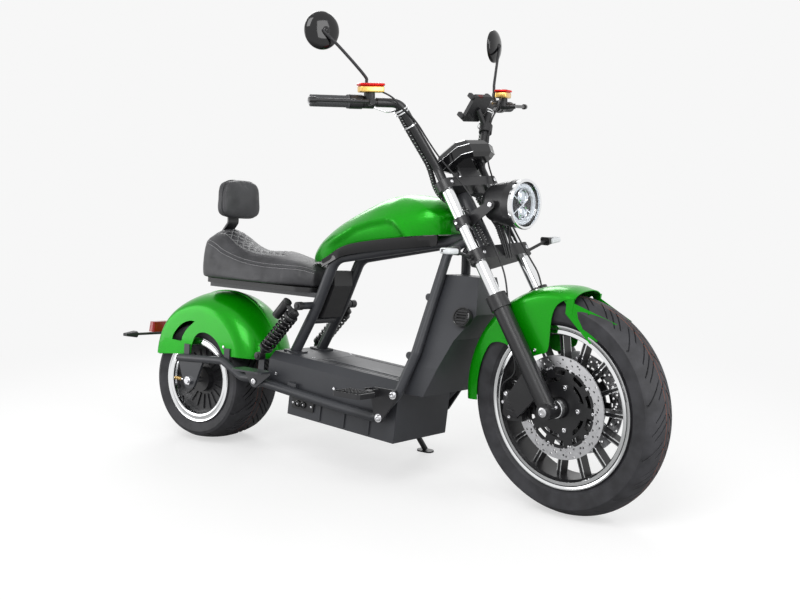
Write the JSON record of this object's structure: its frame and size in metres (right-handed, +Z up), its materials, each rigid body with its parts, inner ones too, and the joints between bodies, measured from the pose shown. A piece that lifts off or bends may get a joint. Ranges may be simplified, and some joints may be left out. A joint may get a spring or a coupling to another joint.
{
  "type": "electric chopper scooter",
  "caption": "Electric chopper scooter with raked fork, high handlebar, low deck, padded seat with backrest and a wide rear hub-motor wheel, parked on its side stand.",
  "frame": {"origin": "centre of the bounding box at the ground, with the scooter parked on its side stand", "axes": "+X forward, +Y to the rider's left, +Z up; the machine leans 6 degrees towards +Y and its steering is turned 10 degrees to the right"},
  "size_m": [2.0918, 0.9837, 1.4568],
  "materials": {
    "tyre": "satin",
    "chrome": "polished",
    "black_metal": "satin",
    "frame_grey": "satin",
    "body_green": "metallic",
    "gloss_black": "glossy",
    "matte_black": "matte",
    "alloy": "satin",
    "steel": "brushed",
    "leather": "satin",
    "grip_grey": "matte",
    "gold": "anodised",
    "red_cap": "glossy",
    "clear_lens": "clear",
    "red_lens": "glossy"
  },
  "bodies": {
    "chassis": {"main_frame": "frame_grey", "swing_arm": "frame_grey", "shocks": "black_metal", "rear_axle": "steel", "rear_fender": "body_green", "tail_bracket": "black_metal", "tail_light": "red_lens", "rear_signals": "clear_lens", "deck_case": "frame_grey", "battery_case": "frame_grey", "battery_block": "matte_black", "socket_panel": "matte_black", "leg_shield": "frame_grey", "horn": "gloss_black", "tank_cover": "body_green", "tank_trim": "gloss_black", "controller_box": "matte_black", "seat_pan": "matte_black", "seat_pad": "leather", "backrest_bracket": "black_metal", "backrest_pad": "leather", "peg_brackets": "alloy", "passenger_steps": "alloy"},
    "rear_wheel": {"rear_tyre": "tyre", "rear_rim": "chrome", "hub_motor": "black_metal"},
    "steering": {"lower_clamp": "black_metal", "upper_clamp": "black_metal", "stanchions": "chrome", "fork_sliders": "black_metal", "front_axle": "chrome", "front_fender": "body_green", "calipers": "black_metal", "headlight_bowl": "black_metal", "headlight_lens": "clear_lens", "headlight_bezel": "chrome", "headlight_bracket": "black_metal", "front_signals": "clear_lens", "dash": "gloss_black", "handlebar": "black_metal", "grips": "grip_grey", "control_pods": "matte_black", "reservoirs": "gold", "reservoir_caps": "red_cap", "levers": "alloy", "mirrors": "black_metal", "phone_holder": "matte_black"},
    "front_wheel": {"front_tyre": "tyre", "front_rim": "black_metal", "brake_discs": "steel"},
    "lid": {"deck_lid": "alloy"},
    "left_peg": {"peg_left": "alloy"},
    "right_peg": {"peg_right": "alloy"},
    "stand": {"side_stand": "black_metal"}
  },
  "joints": [
    {"name": "rear_wheel_spin", "type": "hinge", "parent": "chassis", "child": "rear_wheel", "pos_m": [-0.71091, -0.09632, 0.21778], "axis": [0, 0.9945, -0.1045], "continuous": true},
    {"name": "steering_turn", "type": "hinge", "parent": "chassis", "child": "steering", "pos_m": [0.3699, -0.03427, 0.80771], "axis": [-0.537, 0.0882, 0.839], "range_deg": [-22, 42]},
    {"name": "front_wheel_spin", "type": "hinge", "parent": "steering", "child": "front_wheel", "pos_m": [0.72364, -0.09162, 0.32499], "axis": [0.1464, 0.9892, -0.0102], "continuous": true},
    {"name": "side_stand_fold", "type": "hinge", "parent": "chassis", "child": "stand", "pos_m": [-0.03093, 0.09735, 0.18508], "axis": [-0.2163, 0.9754, 0.0418], "range_deg": [0, 112.7]},
    {"name": "deck_lid_lift", "type": "hinge", "parent": "chassis", "child": "lid", "pos_m": [0.0146, 0.02852, 0.33374], "axis": [-0.9977, 0.0071, 0.068], "range_deg": [0, 85]},
    {"name": "left_peg_fold", "type": "hinge", "parent": "chassis", "child": "left_peg", "pos_m": [0.15111, 0.12121, 0.27802], "axis": [1, 0, -0.0004], "range_deg": [0, 85]},
    {"name": "right_peg_fold", "type": "hinge", "parent": "chassis", "child": "right_peg", "pos_m": [0.15113, -0.29649, 0.32193], "axis": [-1, 0, 0.0004], "range_deg": [0, 85]}
  ]
}
